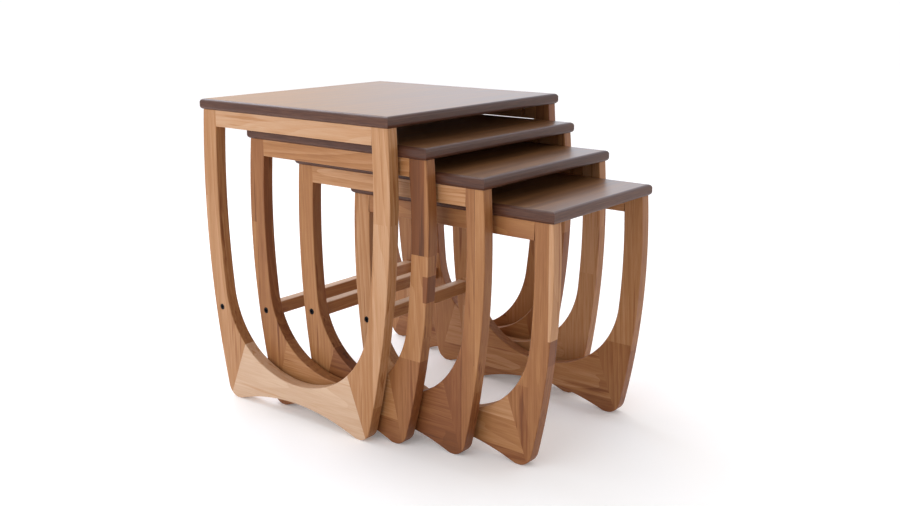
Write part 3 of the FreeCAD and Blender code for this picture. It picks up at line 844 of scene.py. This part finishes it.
def teak(name, along):
    """Laminated teak whose grain runs along axis 0, 1 or 2."""
    material, tree, shader = blank(name)
    place = add(tree, "TexCoord").outputs["Object"]
    heart = add(tree, "Attribute", attribute_name="heart").outputs["Vector"]
    tone = add(tree, "Attribute", attribute_name="tone").outputs["Fac"]
    from_heart = add(tree, "VectorMath", links={0: place, 1: heart}, operation="SUBTRACT")
    squeeze = [1.0, 1.0, 1.0]
    squeeze[along] = 1 / STRETCH
    grain = add(tree, "Mapping", {"Scale": squeeze}, {"Vector": from_heart.outputs[0]})
    # A slow drift bends the rings, as knots and taper do, and fades them in and out.
    drift = add(tree, "TexNoise", {"Scale": DRIFT, "Detail": 2},
                {"Vector": grain.outputs[0]})
    tilted = add(tree, "Mapping", {"Rotation": TILT}, {"Vector": from_heart.outputs[0]})
    bent = add(tree, "VectorMath", {1: (RING_BEND,) * 3},
               {0: drift.outputs["Color"], 2: tilted.outputs[0]}, operation="MULTIPLY_ADD")
    rings = add(tree, "TexWave", {"Scale": WAVE_PERIOD / BAND}, {"Vector": bent.outputs[0]},
                wave_type="RINGS", rings_direction="XYZ"[along], wave_profile="SAW")
    fade = add(tree, "MapRange", {"From Min": CALM, "From Max": LIVELY,
                                  "To Min": RINGS_SHOW[0], "To Max": RINGS_SHOW[1]},
               {"Value": drift.outputs["Fac"]})
    fibre = add(tree, "TexNoise", {"Scale": 1 / FIBRE, "Detail": 3, "Roughness": 0.65},
                {"Vector": grain.outputs[0]}).outputs["Fac"]
    streak = add(tree, "TexNoise", {"Scale": 1 / STREAK, "Detail": 3, "Roughness": 0.5},
                 {"Vector": grain.outputs[0]}).outputs["Fac"]
    vein = add(tree, "MapRange", {"From Min": VEIN_STARTS, "From Max": VEIN_FULL,
                                  "To Max": -VEIN_DARKENS}, {"Value": streak}).outputs[0]
    # The stave's tone with its painted shade; rings, fibre and broad streaks each move it a
    # little; veins darken it.
    total = add(tree, "Math", links={0: rings.outputs["Fac"], 1: fade.outputs[0], 2: tone},
                operation="MULTIPLY_ADD").outputs[0]
    for source, amount in ((fibre, FIBRE_SHOWS), (streak, STREAK_SHOWS)):
        total = add(tree, "Math", {1: amount}, {0: source, 2: total},
                    operation="MULTIPLY_ADD").outputs[0]
    total = add(tree, "Math", links={0: total, 1: vein}, operation="ADD").outputs[0]
    level = add(tree, "Math", {1: PATTERN_MEAN}, {0: total}, operation="SUBTRACT").outputs[0]
    colour = add(tree, "ValToRGB", links={0: level},
                 stops=[(0.0, "#4d2911"), (0.3, "#7c4722"), (0.5, "#a26f42"),
                        (0.66, "#b98b64"), (0.85, "#c6a487"), (1.0, "#d5b89b")])
    tree.links.new(colour.outputs[0], shader.inputs["Base Color"])
    rough = add(tree, "MapRange", {"To Min": SATIN[0], "To Max": SATIN[1]},
                {"Value": fibre}).outputs[0]
    tree.links.new(rough, shader.inputs["Roughness"])
    bump = add(tree, "Bump", {"Strength": 0.25, "Distance": 0.2 * MM}, {"Height": fibre})
    tree.links.new(bump.outputs[0], shader.inputs["Normal"])
    shader.inputs["IOR"].default_value = LACQUER_IOR
    shader.inputs["Specular IOR Level"].default_value = 0.35
    return material


TEAK = {"leg": teak("teak_upright", 2), "rail": teak("teak_front_to_back", 1),
        "stretcher": teak("teak_across", 0)}
print("teak bands, wave scale:", round(WAVE_PERIOD / BAND, 1))

# %% [markdown]
# ## Walnut-stained veneer
# The boards are veneered, the grain running across the table. The stain leaves the figure
# showing as long soft streaks, and the lacquer is sprayed and rubbed down, so it gives a soft
# reflection of whatever stands behind the tables.

# %% Veneer
ALONG_VENEER = 0.045                # the grain is drawn out 22 times its width
VENEER_DRIFT = 9
STREAK_BEND = 0.03
PORES_SHOW = 0.25


def veneer():
    """Stained veneer, its grain along X."""
    material, tree, shader = blank("walnut_stained_veneer")
    place = add(tree, "TexCoord").outputs["Object"]
    grain = add(tree, "Mapping", {"Scale": (ALONG_VENEER, 1, 1)}, {"Vector": place}).outputs[0]
    drift = add(tree, "TexNoise", {"Scale": VENEER_DRIFT, "Detail": 2}, {"Vector": grain})
    bent = add(tree, "VectorMath", {1: (STREAK_BEND,) * 3},
               {0: drift.outputs["Color"], 2: grain}, operation="MULTIPLY_ADD").outputs[0]
    streak = add(tree, "TexNoise", {"Scale": 1 / STREAK, "Detail": 4, "Roughness": 0.62},
                 {"Vector": bent}).outputs["Fac"]
    pores = add(tree, "TexNoise", {"Scale": 1 / FIBRE, "Detail": 2}, {"Vector": grain})
    mixed = add(tree, "Math", {1: PORES_SHOW}, {0: pores.outputs["Fac"], 2: streak},
                operation="MULTIPLY_ADD").outputs[0]
    colour = add(tree, "ValToRGB", links={0: mixed},
                 stops=[(0.40, "#593a21"), (0.60, "#6f492b"), (0.76, "#805834"),
                        (0.9, "#8f6541")])
    tree.links.new(colour.outputs[0], shader.inputs["Base Color"])
    rough = add(tree, "MapRange", {"To Min": 0.30, "To Max": 0.40},
                {"Value": streak}).outputs[0]
    tree.links.new(rough, shader.inputs["Roughness"])
    bump = add(tree, "Bump", {"Strength": 0.15, "Distance": 0.1 * MM},
               {"Height": pores.outputs["Fac"]})
    tree.links.new(bump.outputs[0], shader.inputs["Normal"])
    shader.inputs["IOR"].default_value = LACQUER_IOR
    return material


VENEER = veneer()
for k in TABLES:
    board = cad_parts[f"table_{k}_top_panel"]
    board.data.materials.clear()
    board.data.materials.append(VENEER)
print("veneered boards:", len(TABLES))

# %% [markdown]
# ## Dark lipping
# The edge strips are solid wood stained almost black-brown, with a fine straight grain along
# each strip and a satin lacquer that catches a pale line along the rounding.

# %% Lipping
PORE = 1.5 * MM
ALONG_LIPPING = 0.04                # the grain is drawn out 25 times its width
SHADE = 25 * MM                     # width of its slow changes of shade
SHADES_SHOW = 0.6


def lipping(name, along):
    """Stained solid lipping whose grain runs along axis 0 or 1."""
    material, tree, shader = blank(name)
    place = add(tree, "TexCoord").outputs["Object"]
    squeeze = [1.0, 1.0, 1.0]
    squeeze[along] = ALONG_LIPPING
    grain = add(tree, "Mapping", {"Scale": squeeze}, {"Vector": place}).outputs[0]
    fine = add(tree, "TexNoise", {"Scale": 1 / PORE, "Detail": 3, "Roughness": 0.6},
               {"Vector": grain}).outputs["Fac"]
    broad = add(tree, "TexNoise", {"Scale": 1 / SHADE, "Detail": 2},
                {"Vector": grain}).outputs["Fac"]
    mixed = add(tree, "Math", {1: SHADES_SHOW}, {0: broad, 2: fine}, operation="MULTIPLY_ADD")
    colour = add(tree, "ValToRGB", links={0: mixed.outputs[0]},
                 stops=[(0.50, "#391d12"), (0.8, "#4b2a1c"), (1.0, "#5a3827")])
    tree.links.new(colour.outputs[0], shader.inputs["Base Color"])
    rough = add(tree, "MapRange", {"To Min": 0.34, "To Max": 0.46}, {"Value": fine}).outputs[0]
    tree.links.new(rough, shader.inputs["Roughness"])
    bump = add(tree, "Bump", {"Strength": 0.2, "Distance": 0.1 * MM}, {"Height": fine})
    tree.links.new(bump.outputs[0], shader.inputs["Normal"])
    shader.inputs["IOR"].default_value = LACQUER_IOR
    shader.inputs["Specular IOR Level"].default_value = 0.33
    return material


LIPPING = {"side": lipping("stained_lipping_front_to_back", 1),
           "end": lipping("stained_lipping_across", 0)}
print("lippings in", len(LIPPING), "directions")

# %% [markdown]
# ## Metal and dowels
# The bolts are blackened steel, the pocket screws bright zinc-plated steel, the dowels plain
# beech. They hardly show, but a close look at an underside finds them. The grit of a coating
# and the flecks of beech are really finer; they are drawn a millimetre or so wide, or they
# wouldn't show at all.


# %% Steel and beech
GRIT = 900                          # specks in a metre
FLECK = 700


def metal(name, dark, light, rough_low, rough_high):
    """Steel whose coating is a little uneven."""
    material, tree, shader = blank(name)
    place = add(tree, "TexCoord").outputs["Object"]
    grit = add(tree, "TexNoise", {"Scale": GRIT, "Detail": 3},
               {"Vector": place}).outputs["Fac"]
    colour = add(tree, "ValToRGB", links={0: grit}, stops=[(0.35, dark), (0.65, light)])
    tree.links.new(colour.outputs[0], shader.inputs["Base Color"])
    rough = add(tree, "MapRange", {"To Min": rough_low, "To Max": rough_high},
                {"Value": grit}).outputs[0]
    tree.links.new(rough, shader.inputs["Roughness"])
    shader.inputs["Metallic"].default_value = 1.0
    return material


def dowel_beech():
    """Plain beech with its short flecks."""
    material, tree, shader = blank("turned_beech")
    place = add(tree, "TexCoord").outputs["Object"]
    fleck = add(tree, "TexNoise", {"Scale": FLECK, "Detail": 2},
                {"Vector": place}).outputs["Fac"]
    colour = add(tree, "ValToRGB", links={0: fleck},
                 stops=[(0.3, "#c49a6c"), (0.7, "#dcb98c")])
    tree.links.new(colour.outputs[0], shader.inputs["Base Color"])
    shader.inputs["Roughness"].default_value = 0.6
    return material


BLACK_STEEL = metal("blackened_steel", "#17171a", "#2b2c30", 0.38, 0.55)
ZINC = metal("zinc_plated_steel", "#8f9296", "#b9bcc0", 0.25, 0.4)
BEECH = dowel_beech()
for k in TABLES:
    for node, material in (("top_screws", ZINC), ("dowels", BEECH)):
        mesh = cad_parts[f"table_{k}_{node}"].data
        mesh.materials.clear()
        mesh.materials.append(material)
print("metals ready")

# %% [markdown]
# ## Finishing the pieces
# Every new piece gets its material, smooth shading with its flat faces kept flat, and the body
# it moves with, and the CAD node it stands for is hidden.


# %% Finish each piece
SMOOTH_BELOW = math.radians(40)


def finish(name, obj, material):
    """Material, smooth shading and body of one piece; its CAD node is hidden."""
    edit(obj)
    bpy.ops.mesh.normals_make_consistent(inside=False)
    leave()
    bpy.ops.object.shade_smooth_by_angle(angle=SMOOTH_BELOW)
    bpy.ops.object.modifier_add(type="WEIGHTED_NORMAL")
    obj.modifiers[-1].keep_sharp = True
    bpy.ops.object.modifier_apply(modifier=obj.modifiers[-1].name)
    obj.data.materials.clear()
    obj.data.materials.append(material)
    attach(obj, "table_" + name.split("_")[1])
    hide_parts(name)


for name, obj in WOOD.items():
    kind = "leg" if "leg" in name else "rail" if "rail" in name else "stretcher"
    finish(name, obj, TEAK[kind])
for name, obj in LIPPINGS.items():
    finish(name, obj, LIPPING["side" if "side" in name else "end"])
for name, obj in BOLTS.items():
    finish(name, obj, BLACK_STEEL)
print(len(WOOD) + len(LIPPINGS) + len(BOLTS), "pieces finished")

# %% [markdown]
# ## Floor, light and camera
# A pale floor, and the soft light of a room with windows to the left, behind and to the right:
# the left faces and everything that looks up are bright, the faces towards the open front are
# in half shadow. The floor is painted matt white: it shows soft shade and no highlight. The
# lens is a normal one, a little under two metres away.

# %% Floor
FLOOR_SIZE = 400                    # so wide that its edge is lost at the horizon
FLOOR_GLOW = 0.14                   # light that the rest of the white room would throw on it

bpy.ops.object.select_all(action="DESELECT")
bpy.ops.mesh.primitive_plane_add(size=FLOOR_SIZE)
floor = named("floor")
paint, tree, shader = blank("white_painted_floor")
place = add(tree, "TexCoord").outputs["Object"]
speck = add(tree, "TexNoise", {"Scale": 3}, {"Vector": place}).outputs["Fac"]
colour = add(tree, "ValToRGB", links={0: speck}, stops=[(0.0, "#f7f7f7"), (1.0, "#fbfbfb")])
tree.links.new(colour.outputs[0], shader.inputs["Base Color"])
shader.inputs["Roughness"].default_value = 0.9
shader.inputs["Specular IOR Level"].default_value = 0.1
shader.inputs["Emission Color"].default_value = linear("#ffffff")
shader.inputs["Emission Strength"].default_value = FLOOR_GLOW
floor.data.materials.append(paint)

# %% Light of the room
BEHIND = (0.62, 0.78, 0)            # the bright end of the room
ROOM_LIGHT = (0.36, 1.9)            # from the dark end to the bright one

world = bpy.data.worlds.new("pale_room")
bpy.context.scene.world = world
world.use_nodes = True
room = world.node_tree
gaze = add(room, "TexCoord").outputs["Generated"]
behind = add(room, "VectorMath", {1: BEHIND}, {0: gaze}, operation="DOT_PRODUCT")
toward_x = add(room, "SeparateXYZ", links={0: gaze}).outputs[0]
# The walls are cool white, with a narrow warm stretch that the tops reflect.
walls = add(room, "ValToRGB", links={0: toward_x},
            stops=[(0.45, "#fbfcff"), (0.58, "#f0cca9"), (0.66, "#f1ddcc"), (0.76, "#e6f1ff")])
room.links.new(walls.outputs[0], room.nodes["Background"].inputs["Color"])
glow = add(room, "MapRange", {"From Min": -0.5, "From Max": 0.8,
                              "To Min": ROOM_LIGHT[0], "To Max": ROOM_LIGHT[1]},
           {"Value": behind.outputs["Value"]})
room.links.new(glow.outputs[0], room.nodes["Background"].inputs["Strength"])
print("room of", len(room.nodes), "nodes")


# %% Windows
def window(name, place, target, width, height, watts, code="#ffffff"):
    """A soft rectangular light at a place, facing a target; sizes in metres."""
    light = bpy.data.lights.new(name, "AREA")
    light.shape, light.size, light.size_y = "RECTANGLE", width, height
    light.energy, light.color = watts, linear(code)[:3]
    lamp = bpy.data.objects.new(name, light)
    bpy.context.scene.collection.objects.link(lamp)
    lamp.location = place
    lamp.rotation_euler = (Vector(target) - Vector(place)).to_track_quat("-Z", "Y").to_euler()


TABLES_MIDDLE = (0, 0, 0.25)
window("window_left", (-2.8, 0.2, 1.3), TABLES_MIDDLE, 2.4, 2.0, 32)
window("window_behind", (0.3, 2.0, 2.0), (-0.23, 0.1, 0.52), 1.7, 0.8, 26, "#e6eeff")
window("window_right", (3.4, -4.0, 1.7), TABLES_MIDDLE, 2.6, 2.2, 40, "#fff1e2")

# %% Camera
camera = bpy.data.objects.new("camera", bpy.data.cameras.new("camera"))
bpy.context.scene.collection.objects.link(camera)
camera.data.sensor_width = 36
camera.data.lens = 42.75
camera.data.shift_y = -0.1068
camera.location = (-1.3860, -1.1385, 0.7069)
camera.rotation_euler = (math.radians(81.021), 0, math.radians(-51.383))
bpy.context.scene.camera = camera
bpy.context.scene.view_settings.view_transform = "Standard"
